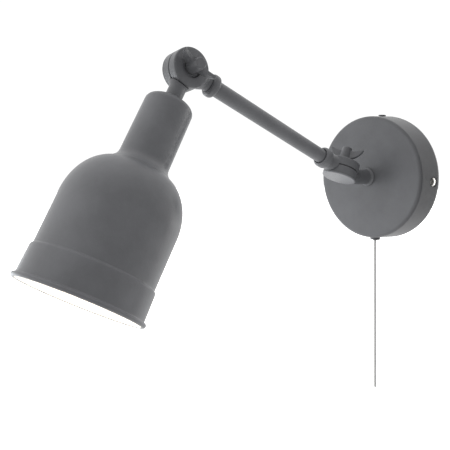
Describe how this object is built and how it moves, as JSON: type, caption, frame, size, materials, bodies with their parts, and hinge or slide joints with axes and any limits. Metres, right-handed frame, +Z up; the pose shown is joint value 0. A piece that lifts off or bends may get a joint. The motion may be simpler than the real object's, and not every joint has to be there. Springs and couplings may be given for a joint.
{
  "type": "wall lamp",
  "caption": "Wall lamp with a round rose, pull-cord switch, tubular arm between two clamped knuckles with wing nuts, and a bell-shaped metal shade.",
  "frame": {"origin": "centre of the wall face, where the rose meets the wall", "axes": "+Y into the wall, +Z up, +X to the right for someone facing the wall; the lamp reaches out along -Y"},
  "size_m": [0.1241, 0.3574, 0.3071],
  "materials": {
    "zinc_steel": "zinc plated",
    "nickel": "polished nickel",
    "brass": "plain",
    "white_plastic": "moulded",
    "rose_paint": "matt dark grey powder coat",
    "knuckle_paint": "matt dark grey powder coat on casting",
    "cap_satin": "satin grey",
    "friction_pad": "fibre",
    "tube_paint": "matt dark grey powder coat",
    "shade_paint": "matt dark grey powder coat, white inside",
    "cord_white": "braided",
    "wire_brown": "plain",
    "wire_earth": "plain",
    "wire_blue": "plain",
    "flex_white": "plain",
    "bulb_cap_metal": "plain",
    "bulb_glass": "opal"
  },
  "bodies": {
    "rose": {"wall_bracket": "zinc_steel", "earth_screw": "brass", "terminal_block": "white_plastic", "terminal_inserts": "brass", "terminal_screws": "zinc_steel", "block_screw": "zinc_steel", "rose_cover": "rose_paint", "rose_screws": "nickel", "blanking_plug": "rose_paint", "switch_body": "white_plastic", "cord_bush": "rose_paint", "lamp_wires": "wire_brown", "earth_wire": "wire_earth", "switch_wires": "wire_blue", "neck_flex": "flex_white", "nipple_washer": "zinc_steel", "nipple_nut": "brass", "rose_knuckle": "knuckle_paint", "rose_knuckle_cap": "cap_satin", "pivot_bolt_1": "zinc_steel", "friction_washer_1": "friction_pad"},
    "arm": {"arm_knuckle_lower": "knuckle_paint", "lower_collar": "knuckle_paint", "arm_tube": "tube_paint", "upper_collar": "knuckle_paint", "arm_knuckle_upper": "knuckle_paint", "arm_flex": "flex_white"},
    "shade": {"shade_knuckle": "knuckle_paint", "shade_knuckle_cap": "knuckle_paint", "pivot_bolt_2": "zinc_steel", "friction_washer_2": "friction_pad", "stem_flex": "flex_white", "stem_nut": "brass", "holder_cap": "white_plastic", "holder_body": "white_plastic", "holder_contact": "brass", "shade_neck": "shade_paint", "shade_dome": "shade_paint", "lamp_shade": "shade_paint", "bulb_cap": "bulb_cap_metal", "bulb_globe": "bulb_glass"},
    "clamp_1": {"clamp_washer_1": "zinc_steel", "spring_washer_1": "zinc_steel"},
    "wing_1": {"wing_nut_1": "knuckle_paint"},
    "clamp_2": {"clamp_washer_2": "zinc_steel"},
    "wing_2": {"wing_nut_2": "knuckle_paint"},
    "pull": {"switch_slide": "white_plastic", "pull_cord": "cord_white"}
  },
  "joints": [
    {"name": "arm_swing", "type": "hinge", "parent": "rose", "child": "arm", "pos_m": [0, -0.06245, 0.00741], "axis": [0, 0.4003, 0.9164], "range_deg": [-90, 90]},
    {"name": "head_tilt", "type": "hinge", "parent": "arm", "child": "shade", "pos_m": [0, -0.23106, 0.08107], "axis": [0.9932, 0.0467, 0.1069], "range_deg": [-90, 30]},
    {"name": "lower_nut_turn", "type": "hinge", "parent": "clamp_1", "child": "wing_1", "pos_m": [0, -0.06245, 0.00741], "axis": [0, 0.4003, 0.9164], "range_deg": [0, 1440]},
    {"name": "lower_nut_travel", "type": "slide", "parent": "rose", "child": "clamp_1", "axis": [0, 0.4003, 0.9164], "range_m": [0, 0.0042], "stiffness_N_per_m": 80, "springref_m": 0.006},
    {"name": "upper_nut_turn", "type": "hinge", "parent": "clamp_2", "child": "wing_2", "pos_m": [0, -0.23106, 0.08107], "axis": [0.9932, 0.0467, 0.1069], "range_deg": [0, 1440]},
    {"name": "upper_nut_travel", "type": "slide", "parent": "shade", "child": "clamp_2", "axis": [0.9932, 0.0467, 0.1069], "range_m": [0, 0.0042]},
    {"name": "pull_switch", "type": "slide", "parent": "rose", "child": "pull", "axis": [-0.0698, 0, -0.9976], "range_m": [0, 0.006], "stiffness_N_per_m": 400, "springref_m": -0.004}
  ],
  "couplings": [
    {"joint": "lower_nut_travel", "follows": "lower_nut_turn", "m_per_rad": 0.00015915},
    {"joint": "upper_nut_travel", "follows": "upper_nut_turn", "m_per_rad": 0.00015915}
  ]
}
